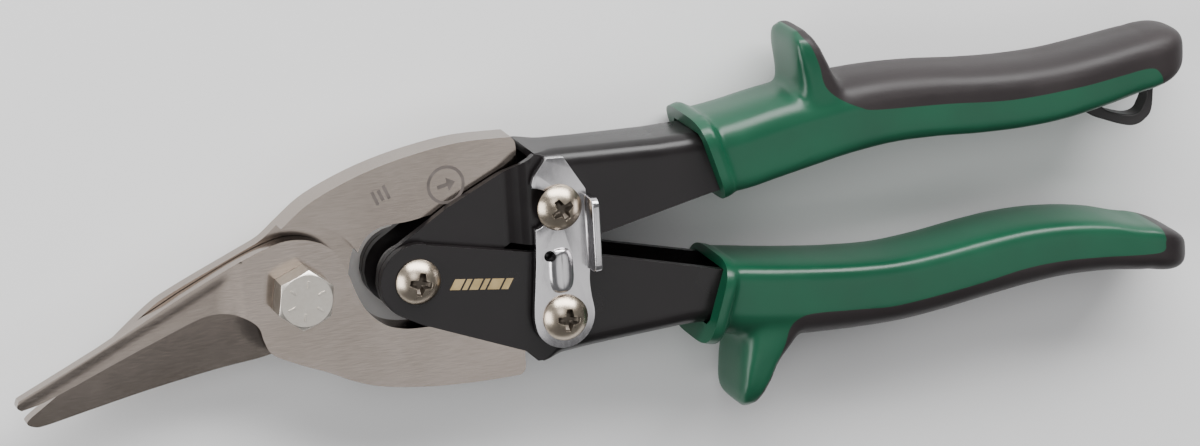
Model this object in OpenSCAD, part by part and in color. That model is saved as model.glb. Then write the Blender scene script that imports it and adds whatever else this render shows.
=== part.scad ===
// Compound-action snips: two lapped jaws, two channel handles on a common
// pivot, two link pivots, a return spring, a swinging latch and moulded grips.
// Origin: main pivot axis, on the plane the tool rests on.
// +X runs to the handle ends, +Y to the upper handle, +Z up out of that plane.

/* [Jaws] */
// Thickness of each jaw plate
jaw_thickness = 6.6; // [6:0.2:7]
// Distance between the two lapped jaw faces
jaw_gap = 0.3; // [0.2:0.1:0.4]
// Width across the flats of the bolt head
bolt_flats = 11.1; // [10:0.1:12]
// Height of the bolt head
bolt_head_height = 5; // [4:0.5:6]
// Diameter of the bolt shank
bolt_shank_diameter = 8; // [7:0.5:8]

/* [Handles] */
// Thickness of the handle sheet
handle_sheet = 1.7; // [1.4:0.1:1.7]
// Diameter of the three recessed screw heads
screw_head_diameter = 9.6; // [9:0.1:10]
// Height of the domed part of a screw head
screw_dome_height = 2.9; // [2.5:0.1:3.2]

/* [Latch] */
// Thickness of the latch plate
latch_thickness = 1.6; // [1.2:0.1:1.6]
// Height of the thumb flange above the latch plate
flange_height = 4.5; // [4:0.5:7]

/* [Grips] */
// Squareness of the outer half of the grip section
grip_squareness = 3; // [2.4:0.1:4]
// Squareness of the inner half, where the section has firm corners
inner_squareness = 7; // [4:0.5:8]
// Thickness of the hanging loop
loop_thickness = 4.2; // [3:0.2:5]

/* [Spring] */
// Diameter of the spring wire
wire_diameter = 1.5; // [1.2:0.1:1.5]

/* [Hidden] */
// heights are counted from the middle plane of the jaws
mid_height = 12;
jaw_half = jaw_thickness / 2;
lap = jaw_gap / 2;
cut = 0.5;
play = 0.05;
pivot_x = 24;
link_x = 54.4;
link_y = 11.9;
collar_half = 12;
collar_squareness = 4;
guard_squareness = 5;
inner_wall = 3.8;
outer_wall = 5.8;
wall_face = outer_wall + handle_sheet;
washer_thickness = 0.5;
latch_base = wall_face + washer_thickness + 0.3;
flare = 0.5;
grip_flare = 1.2;
latch_top = latch_base + latch_thickness;
head_base = latch_top + 0.3;
nut_height = 4;
link_shank = 3;
neck_radius = 2.1;
sleeve_radius = 4;
lobe_radius = 8;
tail_lobe_radius = 7.2;
spacer_radius = 5.2;
rest_slope = 0.44;
latch_ratio = 3.3;
open_angle = 20;
steel = [0.62, 0.59, 0.56];
bright = [0.72, 0.71, 0.7];
zinc = [0.7, 0.7, 0.72];
black = [0.13, 0.13, 0.14];
green = [0.1, 0.4, 0.29];
dark = [0.25, 0.23, 0.24];
nylon = [0.55, 0.55, 0.53];

// ---- outlines in plan ----
front_face_outline = [
    [-59.7, -13.2], [-42.5, -5.5], [-24.6, 3.3], [-11.9, 8.8],
    [-4.2, 11.3], [0.7, 11.6], [5.4, 9.9], [8.6, 7], [10.6, 2.5],
    [12.2, -2.3], [14.1, -6], [17.3, -9.4], [20.7, -10.6],
    [24.9, -11.3], [34, -11.2], [43, -8.4], [49, -7.2],
    [54.4, -11.9], [50, -17.6], [47.5, -19.6], [47.4, -23.2],
    [44.8, -25.1], [26.2, -24.3], [16.5, -22.8], [10.5, -20.6],
    [5.1, -17.5], [-1.5, -14.6], [-6.8, -11.8], [-8.1, -8.6],
    [-8.9, -5.9], [-11.1, -3.8], [-14.5, -2], [-17.9, -1.5],
    [-21.5, -2.1], [-28.6, -4.6], [-35.7, -7], [-42.9, -9.9],
    [-50.1, -12.9], [-55.3, -14.7], [-59.2, -15.4], [-60.2, -14.6]
];
front_tail_outline = [
    [4, -16.9], [14.1, -6], [17.3, -9.4], [20.7, -10.6],
    [24.9, -11.3], [34, -11.2], [43, -8.4], [49, -7.2],
    [54.4, -11.9], [50, -17.6], [47.5, -19.6], [47.4, -23.2],
    [44.8, -25.1], [26.2, -24.3], [16.5, -22.8], [10.5, -20.6],
    [5.1, -17.5]
];
rear_blade_outline = [
    [-57.8, -19], [-56.2, -20.4], [-53.6, -20.4], [-45.7, -19],
    [-31.7, -16.6], [-17.4, -14.7], [-8, -13.9], [-3, -12.6],
    [0.7, -11.6], [5.4, -9.9], [8.6, -7], [10.6, -2.5], [11.6, 2],
    [12.6, 6.2], [14.8, 9.8], [17.6, 11.4], [24.4, 11.7],
    [30.3, 12.6], [36, 11.4], [43, 8.4], [49, 7.2], [54.4, 11.9],
    [50, 17.6], [48.2, 19.6], [48.2, 24.6], [46.2, 26.5],
    [35.8, 26.9], [25.8, 25.7], [16.7, 23.8], [8.8, 21.2],
    [2.7, 18.5], [-2.5, 14.4], [-6.5, 11.4], [-11.9, 9.4],
    [-24.6, 4], [-31, 0.8], [-42, -8], [-50, -13.6],
    [-54.5, -16.6]
];
rear_tail_outline = [
    [-3.4, 13.4], [11.6, 2], [12.6, 6.2], [14.8, 9.8], [17.6, 11.4],
    [24.4, 11.7], [30.3, 12.6], [36, 11.4], [43, 8.4], [49, 7.2],
    [54.4, 11.9], [50, 17.6], [48.2, 19.6], [48.2, 24.6],
    [46.2, 26.5], [35.8, 26.9], [25.8, 25.7], [16.7, 23.8],
    [8.8, 21.2], [2.7, 18.5], [-2.5, 14.4]
];
upper_wall_outline = [
    [20.2, 7.04], [32, 14.1], [49.4, 21.9], [50.6, 23.3],
    [62.5, 22.6], [78.3, 21.9], [92, 21.9], [104, 22.5],
    [124, 24.6], [150, 23.6], [166, 22.6], [166, 15.2], [150, 15],
    [124, 15.2], [104, 12], [90.5, 9.6], [64.9, 4.2], [49, 3.9],
    [45, 5.4], [41, 2], [30, -5.3]
];
upper_web_outline = [
    [50.6, 23.3], [62.5, 22.6], [78.3, 21.9], [92, 21.9],
    [104, 22.5], [124, 24.6], [150, 23.6], [166, 22.6],
    [166, 20.9], [150, 21.9], [124, 22.9], [104, 20.8], [92, 20.2],
    [78.3, 20.2], [62.5, 20.9], [50.6, 21.6]
];
lower_wall_outline = [
    [20.2, -7.04], [24.2, -9.3], [46.2, -18.6], [48.6, -21.6],
    [62, -20.5], [81.9, -19.4], [92, -19.6], [104, -21],
    [124, -22.8], [150, -21], [166, -20], [166, -12.6],
    [150, -12.8], [124, -14], [104, -11.2], [93.1, -8.6],
    [65.3, -1.1], [46.9, 2.8], [26.4, 7.3]
];
lower_web_outline = [
    [50, -21.49], [62, -20.5], [81.9, -19.4], [92, -19.6],
    [104, -21], [124, -22.8], [150, -21], [166, -20],
    [166, -18.3], [150, -19.3], [124, -21.1], [104, -19.3],
    [92, -17.9], [81.9, -17.7], [62, -18.8], [50, -19.79]
];
latch_outline = [
    [-6.4, -1.5], [-6.3, 8.5], [-5.7, 13.5], [-5.3, 19.2],
    [-5.4, 29.6], [-4.9, 31], [-1.9, 34.6], [1.7, 34.3],
    [7.4, 25.6], [7.4, 9.6], [6.4, 4.5], [6.4, -1.5]
];
loop_outline = [
    [176.6, 18.4], [176.9, 12.2], [178.6, 10.4], [182.4, 8.6],
    [186.4, 6.8], [189, 6.2], [191.8, 7.2], [193.8, 10],
    [194.4, 18.4]
];
loop_hole_outline = [
    [180.4, 15.4], [181.8, 11.8], [185.8, 9.8], [189, 9.2],
    [191.2, 10.8], [191.8, 15.4]
];

// ---- grip sections: distance along X, low and high edge, half thickness ----
upper_sections = [
    [86.5, 9.2, 24.6, 10.4], [95, 8.6, 25.5, 10.4],
    [104, 10, 27, 10.2], [112, 11.4, 28, 10], [120, 12.7, 28.7, 9.8],
    [130, 13.6, 28.8, 9.6], [140, 13.4, 28.2, 9.6],
    [150, 12.7, 27.1, 9.7], [160, 12.4, 26.4, 9.7],
    [170, 12.9, 26.4, 9.6], [180, 14.4, 27.3, 9.4],
    [190, 16.2, 28.4, 8.9], [194.2, 17.1, 28.8, 8.6],
    [196.8, 18.2, 28.6, 7.6], [198.8, 19.7, 27.8, 5.9],
    [200, 21.4, 26.5, 3.7], [200.4, 23.2, 24.8, 1.4]
];
lower_sections = [
    [86.5, -22.2, -6, 10.4], [95, -24.2, -7.4, 10.4],
    [104, -25.7, -8.9, 10.2], [112, -26.3, -10.1, 10],
    [120, -26.7, -11.1, 9.8], [130, -26.8, -11.8, 9.6],
    [140, -26, -11.3, 9.6], [150, -24.7, -10.2, 9.7],
    [160, -23.5, -9.5, 9.7], [170, -22.9, -9.9, 9.6],
    [180, -23.4, -11.5, 9.4], [190, -24.8, -14.2, 8.8],
    [194, -25.7, -15.5, 8.5], [196.6, -25.8, -16.8, 7.5],
    [198.5, -25.3, -18.3, 5.8], [199.6, -24.3, -19.9, 3.6],
    [200, -23, -21.2, 1.4]
];
// guard sections: distance along Y, low and high edge in X, half thickness
upper_guard = [
    [24, 109.5, 121, 9.4], [29, 109.6, 118.6, 9.2],
    [33, 109.3, 116.6, 8.9], [36.5, 109, 115, 8.4],
    [38.8, 109.2, 113.6, 7.4], [40.2, 110, 112.4, 5]
];
lower_guard = [
    [-20, 95.2, 110, 9.6], [-26, 94.6, 106.5, 9.4],
    [-30.2, 94, 102.6, 9.1], [-33.7, 93.6, 100.8, 8.8],
    [-36.6, 93.3, 99.1, 8.2], [-38.8, 93.6, 97.4, 7],
    [-39.9, 94.4, 96.2, 4.6]
];
upper_pad_outline = [
    [112, 50], [110.6, 40.8], [112.4, 37.2], [113.8, 33],
    [114.4, 29.6], [115.6, 27.4], [118.2, 25.2], [122.2, 23.1],
    [126.2, 22], [142.2, 20.9], [157.1, 19.6], [172.3, 20],
    [182.4, 21], [189.5, 21.6], [191.9, 20.4], [193, 17.5],
    [193.4, 11], [206, 11], [206, 50]
];
lower_pad_outline = [
    [95, -46], [95.9, -39.6], [97.4, -37], [99.6, -33.4],
    [101.6, -29.6], [103.2, -26], [104.2, -22.8], [106.1, -20.8],
    [109.8, -20.1], [120.3, -21], [129.7, -21.6], [146.5, -20],
    [158.5, -18.2], [168.1, -17.9], [177.6, -18.6], [190.9, -20],
    [192.6, -17.8], [192.4, -15.6], [190.6, -8], [206, -8],
    [206, -46]
];

// path of the upper link pin seen from the latch, as the tool opens
function turned(p, a) =
    [p[0] * cos(a) - p[1] * sin(a), p[0] * sin(a) + p[1] * cos(a)];
function latch_path(t) =
    turned([link_x, link_y] - turned([link_x, -link_y], -t),
        (1 + rest_slope + latch_ratio) * t);
function across(a, b) =
    let (d = b - a) [-d[1], d[0]] / norm(d);
function path_side(t, side) =
    latch_path(t) + side * across(latch_path(t), latch_path(t + 0.1));
function squareness(a, side) =
    cos(a) * side < 0 ? inner_squareness
        : side == 0 ? collar_squareness : grip_squareness;
function section_point(a, w, h, n) =
    [sign(cos(a)) * pow(abs(cos(a)), 2 / n) * w / 2,
        sign(sin(a)) * pow(abs(sin(a)), 2 / n) * h / 2];

// ---- helpers ----
module plate(outline, low, high) {
    translate([0, 0, low])
        linear_extrude(high - low)
            polygon(outline);
}

module rod(x, y, r, low, high) {
    translate([x, y, low])
        cylinder(h = high - low, r = r, $fn = 64);
}

module hex_block(x, y, flats, low, high) {
    translate([x, y, low])
        cylinder(h = high - low, r = flats / sqrt(3), $fn = 6);
}

module cross_recess(x, y, top) {
    translate([x, y, top - 1.8]) {
        translate([-2.4, -0.55, 0])
            cube([4.8, 1.1, 4]);
        translate([-0.55, -2.4, 0])
            cube([1.1, 4.8, 4]);
    }
}

// domed head, neck under it, shank down to the end
module dome_screw(x, y, base, neck, shank, low, step) {
    dome = (screw_head_diameter * screw_head_diameter / 4
        + screw_dome_height * screw_dome_height)
        / (2 * screw_dome_height);
    difference() {
        union() {
            intersection() {
                rod(x, y, screw_head_diameter / 2, base,
                    base + screw_dome_height);
                translate([x, y, base + screw_dome_height - dome])
                    sphere(r = dome, $fn = 64);
            }
            rod(x, y, neck, step, base);
            rod(x, y, shank, low, step);
        }
        cross_recess(x, y, base + screw_dome_height);
    }
}

module ring(x, y, outer, inner, low, high) {
    difference() {
        rod(x, y, outer, low, high);
        rod(x, y, inner, low - cut, high + cut);
    }
}

module nut(x, y, flats, bore, low, high) {
    difference() {
        hex_block(x, y, flats, low, high);
        rod(x, y, bore, low - cut, high + cut);
    }
}

// sheet seen from above the long edge: half a channel, on the +Z side
module side_profile(outline) {
    translate([0, 60, 0])
        rotate([90, 0, 0])
            linear_extrude(120)
                polygon(outline);
}

module section_slab(s, side) {
    translate([s[0], (s[1] + s[2]) / 2, 0])
        rotate([90, 0, 90])
            linear_extrude(0.02)
                polygon([for (i = [0 : 35])
                    section_point(i * 10, s[2] - s[1], 2 * s[3],
                        squareness(i * 10, side))]);
}

module guard_slab(s) {
    translate([(s[1] + s[2]) / 2, s[0], 0])
        rotate([90, 0, 0])
            linear_extrude(0.02)
                polygon([for (i = [0 : 23])
                    section_point(i * 15, s[2] - s[1], 2 * s[3],
                        guard_squareness)]);
}

module grip_body(sections, guard, collar, side) {
    difference() {
        union() {
            for (i = [0 : len(sections) - 2])
                hull() {
                    section_slab(sections[i], side);
                    section_slab(sections[i + 1], side);
                }
            for (i = [0 : len(guard) - 2])
                hull() {
                    guard_slab(guard[i]);
                    guard_slab(guard[i + 1]);
                }
        }
        translate([collar[0], collar[1], 0])
            rotate([0, 0, collar[2]])
                translate([-14, -20, -collar_half - 1])
                    cube([12, 40, 2 * collar_half + 2]);
    }
    translate([collar[0], collar[1], 0])
        rotate([0, 0, collar[2]])
            hull() {
                section_slab([-2, -9.1, 9.1, collar_half - 0.2], 0);
                section_slab([-1.2, -9.4, 9.4, collar_half], 0);
                section_slab([0.4, -9.4, 9.4, collar_half], 0);
                section_slab([1.4, -8.4, 8.4, collar_half - 1.4], 0);
            }
}

module pad_region(outline) {
    plate(outline, -collar_half - 1, collar_half + 1);
}

module upper_grip_shape() {
    grip_body(upper_sections, upper_guard, [90.4, 16.6, 17], 1);
}

module lower_grip_shape() {
    grip_body(lower_sections, lower_guard, [89.9, -15.4, -18], -1);
}

module upper_tang_space() {
    intersection() {
        plate(upper_wall_outline, -mid_height, mid_height);
        channel_envelope();
    }
}

module lower_tang_space() {
    intersection() {
        plate(lower_wall_outline, -mid_height, mid_height);
        channel_envelope();
    }
}

module channel_envelope() {
    side_profile([
        [10, -wall_face], [62, -wall_face], [88, -wall_face - flare],
        [97, -wall_face - grip_flare], [108, -wall_face + 0.4],
        [170, -wall_face + 0.4], [170, wall_face - 0.4],
        [108, wall_face - 0.4], [97, wall_face + grip_flare],
        [88, wall_face + flare], [62, wall_face], [10, wall_face]
    ]);
}

// front wall of a channel; the rear one is its mirror image
module outer_wall_profile() {
    side_profile([
        [10, outer_wall], [62, outer_wall], [88, outer_wall + flare],
        [97, outer_wall + grip_flare], [108, outer_wall - 0.4],
        [170, outer_wall - 0.4], [170, wall_face - 0.4],
        [108, wall_face - 0.4], [97, wall_face + grip_flare],
        [88, wall_face + flare], [62, wall_face], [10, wall_face]
    ]);
}

module joggled_wall_profile() {
    side_profile([
        [10, inner_wall], [45.6, inner_wall], [49, outer_wall],
        [62, outer_wall], [88, outer_wall + flare],
        [97, outer_wall + grip_flare], [108, outer_wall - 0.4],
        [170, outer_wall - 0.4], [170, wall_face - 0.4],
        [108, wall_face - 0.4], [97, wall_face + grip_flare],
        [88, wall_face + flare], [62, wall_face],
        [48.3, wall_face], [44.9, inner_wall + handle_sheet],
        [10, inner_wall + handle_sheet]
    ]);
}

module web(outline) {
    intersection() {
        plate(outline, -mid_height, mid_height);
        channel_envelope();
    }
}

module wall(outline) {
    intersection() {
        union() {
            plate(outline, 0, mid_height);
            rod(pivot_x, 0, lobe_radius, 0, mid_height);
        }
        children();
    }
}

module both_walls() {
    children();
    mirror([0, 0, 1])
        children();
}

// ---- jaws ----
// lower blade, pivot recess, and the tail that carries the upper link
module rear_jaw() {
    color(steel)
        translate([0, 0, mid_height])
            difference() {
                union() {
                    plate(rear_blade_outline, -jaw_half, -lap);
                    rod(link_x, link_y, tail_lobe_radius,
                        -jaw_half, jaw_half);
                    difference() {
                        plate(rear_tail_outline, -lap, jaw_half);
                        rod(0, 0, 14.6, -lap, jaw_half + cut);
                    }
                }
                rod(0, 0, bolt_shank_diameter / 2 + play,
                    -jaw_half - cut, jaw_half);
                rod(link_x, link_y, link_shank + play,
                    -jaw_half - cut, jaw_half + cut);
            }
}

// upper blade, hub under the bolt head, and the tail of the lower link
module front_jaw() {
    color(steel)
        translate([0, 0, mid_height])
            difference() {
                union() {
                    plate(front_face_outline, lap, jaw_half);
                    rod(link_x, -link_y, tail_lobe_radius,
                        -jaw_half, jaw_half);
                    difference() {
                        plate(front_tail_outline, -jaw_half, lap);
                        rod(0, 0, 16.4, -jaw_half - cut, lap);
                    }
                }
                rod(0, 0, bolt_shank_diameter / 2 + play,
                    -jaw_half, jaw_half + cut);
                rod(link_x, -link_y, link_shank + play,
                    -jaw_half - cut, jaw_half + cut);
            }
}

// ---- main pivot ----
module pivot_bolt() {
    head_low = jaw_half + 0.3;
    color(bright)
        translate([0, 0, mid_height])
            difference() {
                union() {
                    intersection() {
                        rotate([0, 0, 21])
                            hex_block(0, 0, bolt_flats, head_low,
                                head_low + bolt_head_height);
                        translate([0, 0, head_low - 8])
                            cylinder(h = 9 + bolt_head_height,
                                r1 = bolt_flats / 2 + 9.4,
                                r2 = bolt_flats / 2 - 0.2, $fn = 64);
                    }
                    rod(0, 0, bolt_shank_diameter / 2,
                        -mid_height, head_low);
                }
                for (i = [0 : 5])
                    rotate([0, 0, i * 60 + 18])
                        translate([2.6, -0.2,
                            head_low + bolt_head_height - 0.15])
                            cube([1.5, 0.4, 1]);
            }
}

module pivot_washer() {
    color(zinc)
        translate([0, 0, mid_height])
            ring(0, 0, 8, bolt_shank_diameter / 2 + play,
                -jaw_half - 1.4, -jaw_half);
}

module pivot_lock_nut() {
    color(bright)
        translate([0, 0, mid_height])
            nut(0, 0, 13, bolt_shank_diameter / 2, -mid_height,
                -jaw_half - 1.4);
}

// ---- handles ----
module upper_handle() {
    color(black)
        translate([0, 0, mid_height])
            difference() {
                union() {
                    both_walls()
                        wall(upper_wall_outline)
                            joggled_wall_profile();
                    web(upper_web_outline);
                }
                rod(pivot_x, 0, sleeve_radius + 0.4, -mid_height,
                    mid_height);
                rod(link_x, link_y, link_shank + play, -mid_height,
                    mid_height);
            }
}

module lower_handle() {
    color(black)
        translate([0, 0, mid_height])
            difference() {
                union() {
                    both_walls()
                        wall(lower_wall_outline)
                            outer_wall_profile();
                    web(lower_web_outline);
                }
                rod(pivot_x, 0, link_shank + play, -mid_height,
                    mid_height);
                rod(link_x, -link_y, link_shank + play, -mid_height,
                    mid_height);
            }
}

module handle_pivot_screw() {
    color(bright)
        translate([0, 0, mid_height])
            dome_screw(pivot_x, 0, wall_face, link_shank, link_shank,
                -wall_face - nut_height + 0.5, 0);
}

module handle_pivot_nut() {
    color(bright)
        translate([0, 0, mid_height])
            nut(pivot_x, 0, 10, link_shank, -wall_face - nut_height,
                -wall_face);
}

module spring_sleeve() {
    color(zinc)
        translate([0, 0, mid_height])
            ring(pivot_x, 0, sleeve_radius, link_shank + play,
                -outer_wall, outer_wall);
}

// three turns of round wire with two straight legs
module torsion_spring() {
    coil = sleeve_radius + 0.4 + wire_diameter / 2;
    turns = 3;
    rise = wire_diameter + 0.2;
    leg = 15;
    sides = 10;
    steps = 72;
    color(steel)
        translate([pivot_x, 0, mid_height])
            spring_body(coil, turns, rise, leg, sides, steps);
}

module spring_body(coil, turns, rise, leg, sides, steps) {
    last = steps + 2;
    spin = 360 * (turns - 0.5);
    centres = concat(
        [[leg, -coil, -turns * rise / 2]],
        [for (i = [0 : steps])
            [coil * cos(-90 - i * spin / steps),
                coil * sin(-90 - i * spin / steps),
                (i / steps - 0.5) * turns * rise]],
        [[leg, coil, turns * rise / 2]]);
    outward = concat(
        [[0, -1]],
        [for (i = [0 : steps])
            [cos(-90 - i * spin / steps), sin(-90 - i * spin / steps)]],
        [[0, 1]]);
    points = [for (i = [0 : last]) for (j = [0 : sides - 1])
        centres[i] + wire_diameter / 2 * [
            outward[i][0] * cos(j * 360 / sides),
            outward[i][1] * cos(j * 360 / sides),
            sin(j * 360 / sides)]];
    walls = [for (i = [0 : last - 1]) for (j = [0 : sides - 1])
        [i * sides + j, i * sides + (j + 1) % sides,
            (i + 1) * sides + (j + 1) % sides, (i + 1) * sides + j]];
    ends = [[for (j = [sides - 1 : -1 : 0]) j],
        [for (j = [0 : sides - 1]) last * sides + j]];
    polyhedron(points = points, faces = concat(walls, ends));
}

// ---- link pivots ----
module upper_link_screw() {
    color(bright)
        translate([0, 0, mid_height])
            dome_screw(link_x, link_y, head_base, neck_radius,
                link_shank, -wall_face - nut_height + 0.5, wall_face);
}

module lower_link_screw() {
    color(bright)
        translate([0, 0, mid_height])
            dome_screw(link_x, -link_y, head_base, link_shank,
                link_shank, -wall_face - nut_height + 0.5, wall_face);
}

module upper_link_nut() {
    color(bright)
        translate([0, 0, mid_height])
            nut(link_x, link_y, 10, link_shank,
                -wall_face - nut_height, -wall_face);
}

module lower_link_nut() {
    color(bright)
        translate([0, 0, mid_height])
            nut(link_x, -link_y, 10, link_shank,
                -wall_face - nut_height, -wall_face);
}

module upper_link_front_spacer() {
    color(zinc)
        translate([0, 0, mid_height])
            ring(link_x, link_y, spacer_radius, link_shank + play,
                jaw_half + 0.3, outer_wall);
}

module upper_link_rear_spacer() {
    color(zinc)
        translate([0, 0, mid_height])
            ring(link_x, link_y, spacer_radius, link_shank + play,
                -outer_wall, -jaw_half - 0.3);
}

module lower_link_front_spacer() {
    color(zinc)
        translate([0, 0, mid_height])
            ring(link_x, -link_y, spacer_radius, link_shank + play,
                jaw_half + 0.3, outer_wall);
}

module lower_link_rear_spacer() {
    color(zinc)
        translate([0, 0, mid_height])
            ring(link_x, -link_y, spacer_radius, link_shank + play,
                -outer_wall, -jaw_half - 0.3);
}

// ---- latch ----
module latch() {
    reach = neck_radius + 0.35;
    sweep = 3.2;
    steps = 8;
    mouth = concat(
        [for (i = [0 : steps]) path_side(i * sweep / steps, -reach)],
        [[-9, 19.2], [-4.6, 19.2], [-3, 20.4]]);
    color(zinc)
        translate([link_x, -link_y, mid_height])
            difference() {
                union() {
                    plate(latch_outline, latch_base, latch_top);
                    rod(0, 0, 6.6, latch_base, latch_top);
                    plate([[5.9, 9.6], [7.4, 9.6], [7.4, 25.6], [5.9, 25.6]],
                        latch_base, latch_top + flange_height);
                }
                plate(mouth, latch_base - cut, latch_top + cut);
                rod(0, 23.8, reach, latch_base - cut, latch_top + cut);
                rod(0, 0, link_shank + play, latch_base - cut,
                    latch_top + cut);
                rod(-2.8, 13.2, 1.1, latch_base - cut,
                    latch_top + cut);
            }
}

module latch_washer() {
    color(bright)
        translate([0, 0, mid_height])
            ring(link_x, -link_y, 5.2, link_shank + play, wall_face,
                wall_face + washer_thickness);
}

// ---- grips ----
module upper_grip() {
    color(green)
        translate([0, 0, mid_height])
            difference() {
                upper_grip_shape();
                pad_region(upper_pad_outline);
                upper_tang_space();
                plate(loop_outline, -loop_thickness / 2,
                    loop_thickness / 2);
            }
}

module upper_grip_pad() {
    color(dark)
        translate([0, 0, mid_height])
            difference() {
                intersection() {
                    upper_grip_shape();
                    pad_region(upper_pad_outline);
                }
                upper_tang_space();
                plate(loop_outline, -loop_thickness / 2,
                    loop_thickness / 2);
            }
}

module hanging_loop() {
    color(dark)
        translate([0, 0, mid_height])
            difference() {
                plate(loop_outline, -loop_thickness / 2,
                    loop_thickness / 2);
                plate(loop_hole_outline, -loop_thickness,
                    loop_thickness);
            }
}

module lower_grip() {
    color(green)
        translate([0, 0, mid_height])
            difference() {
                lower_grip_shape();
                pad_region(lower_pad_outline);
                lower_tang_space();
            }
}

module lower_grip_pad() {
    color(dark)
        translate([0, 0, mid_height])
            difference() {
                intersection() {
                    lower_grip_shape();
                    pad_region(lower_pad_outline);
                }
                lower_tang_space();
            }
}

rear_jaw();
front_jaw();
pivot_bolt();
pivot_washer();
pivot_lock_nut();
upper_handle();
lower_handle();
handle_pivot_screw();
handle_pivot_nut();
spring_sleeve();
torsion_spring();
upper_link_screw();
upper_link_nut();
upper_link_front_spacer();
upper_link_rear_spacer();
lower_link_screw();
lower_link_nut();
lower_link_front_spacer();
lower_link_rear_spacer();
latch();
latch_washer();
upper_grip();
upper_grip_pad();
hanging_loop();
lower_grip();
lower_grip_pad();
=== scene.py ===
import bmesh
import bpy
from math import atan2, cos, pi, radians, sin, sqrt
from mathutils import Matrix, Vector


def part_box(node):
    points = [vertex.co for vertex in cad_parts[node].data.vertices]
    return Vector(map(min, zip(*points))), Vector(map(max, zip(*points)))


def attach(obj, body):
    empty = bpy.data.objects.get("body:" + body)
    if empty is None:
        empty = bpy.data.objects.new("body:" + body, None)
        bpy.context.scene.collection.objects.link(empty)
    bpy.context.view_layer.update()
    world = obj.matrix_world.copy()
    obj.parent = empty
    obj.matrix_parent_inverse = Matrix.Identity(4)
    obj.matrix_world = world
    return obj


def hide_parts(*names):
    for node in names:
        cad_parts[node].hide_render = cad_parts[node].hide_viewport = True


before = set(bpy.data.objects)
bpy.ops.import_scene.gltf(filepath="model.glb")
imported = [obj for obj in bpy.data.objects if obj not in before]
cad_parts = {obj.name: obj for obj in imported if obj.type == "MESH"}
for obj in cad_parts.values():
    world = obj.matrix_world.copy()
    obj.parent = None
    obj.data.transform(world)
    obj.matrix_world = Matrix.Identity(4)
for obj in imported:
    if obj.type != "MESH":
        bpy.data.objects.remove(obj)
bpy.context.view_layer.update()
print("stage: frame loaded")

mm = 0.001
rearBody = "rear_jaw_body"
frontBody = "front_jaw_body"
upperBody = "upper_handle_body"
lowerBody = "lower_handle_body"
latchBody = "latch_body"


def centreOf(node):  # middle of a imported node, in millimetres
    low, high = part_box(node)
    return [(a + b) / 2 / mm for a, b in zip(low, high)]


midZ = centreOf("front_jaw")[2]
handlePin = centreOf("handle_pivot_nut")
pinUpper = centreOf("upper_link_nut")
pinLower = centreOf("lower_link_nut")
jawHalf = (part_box("front_jaw")[1][2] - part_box("front_jaw")[0][2]) / mm / 2
handleFace = midZ + 7.5  # front of the outer handle's wall


# making and joining meshes

def newPiece(name, mesh):
    piece = bpy.data.objects.new(name, mesh)
    bpy.context.scene.collection.objects.link(piece)
    return piece


def meshFrom(name, points, faces):
    mesh = bpy.data.meshes.new(name)
    mesh.from_pydata([(p[0] * mm, p[1] * mm, p[2] * mm) for p in points], [], faces)
    return squareUp(newPiece(name, mesh))


def squareUp(piece, merge=1e-6):  # merge what meets and turn every face outwards
    shape = bmesh.new()
    shape.from_mesh(piece.data)
    bmesh.ops.remove_doubles(shape, verts=shape.verts, dist=merge)
    bmesh.ops.recalc_face_normals(shape, faces=shape.faces)
    shape.to_mesh(piece.data)
    shape.free()
    return piece


def settle(piece):  # apply the modifiers
    graph = bpy.context.evaluated_depsgraph_get()
    graph.update()
    mesh = bpy.data.meshes.new_from_object(piece.evaluated_get(graph))
    piece.modifiers.clear()
    piece.data = mesh
    return piece


def combine(piece, other, operation):
    step = piece.modifiers.new("combine", "BOOLEAN")
    step.operation = operation
    step.solver = "EXACT"
    step.object = other
    settle(piece)
    bpy.data.objects.remove(other)
    return piece


def easeEdges(piece, width, segments=2, angle=34):
    step = piece.modifiers.new("ease", "BEVEL")
    step.width = width * mm
    step.segments = segments
    step.limit_method = "ANGLE"
    step.angle_limit = radians(angle)
    step.use_clamp_overlap = True
    return settle(piece)


def easeRims(piece, width, segments=3, angle=40):
    # rounds the edges round the flat faces and leaves upright corners alone
    shape = bmesh.new()
    shape.from_mesh(piece.data)
    rims = [e for e in shape.edges if len(e.link_faces) == 2
            and e.calc_face_angle(0) > radians(angle)
            and abs(e.verts[0].co.z - e.verts[1].co.z) < 0.3 * e.calc_length()]
    bmesh.ops.bevel(shape, geom=rims, offset=width * mm, segments=segments, profile=0.5,
                    affect="EDGES", clamp_overlap=True)
    shape.to_mesh(piece.data)
    shape.free()
    return squareUp(piece, 1e-7)


def smoothShade(piece, angle=40, weighted=True):
    piece.data.shade_smooth()
    piece.data.set_sharp_from_angle(angle=radians(angle))
    if weighted:
        step = piece.modifiers.new("normals", "WEIGHTED_NORMAL")
        step.keep_sharp = True
        settle(piece)
    return piece


def smoothLoop(points, steps=6):
    # closed outline through the points; a third value of 1 marks a corner
    corners = [i for i, p in enumerate(points) if len(p) > 2 and p[2]]
    count = len(points)
    loop = []
    for i in range(count):
        a, b = points[i], points[(i + 1) % count]
        before = points[i] if i in corners else points[i - 1]
        after = b if (i + 1) % count in corners else points[(i + 2) % count]
        for k in range(steps):
            t = k / steps
            loop.append([curveValue(before[j], a[j], b[j], after[j], t) for j in (0, 1)])
    return loop


def curveValue(a, b, c, d, t):
    return 0.5 * (2 * b + (c - a) * t + (2 * a - 5 * b + 4 * c - d) * t * t
                  + (3 * b - a - 3 * c + d) * t * t * t)


def prism(name, loop, low, high):
    count = len(loop)
    points = [(x, y, low) for x, y in loop] + [(x, y, high) for x, y in loop]
    sides = [(i, (i + 1) % count, count + (i + 1) % count, count + i) for i in range(count)]
    caps = [tuple(reversed(range(count))), tuple(range(count, 2 * count))]
    return meshFrom(name, points, sides + caps)


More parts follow.
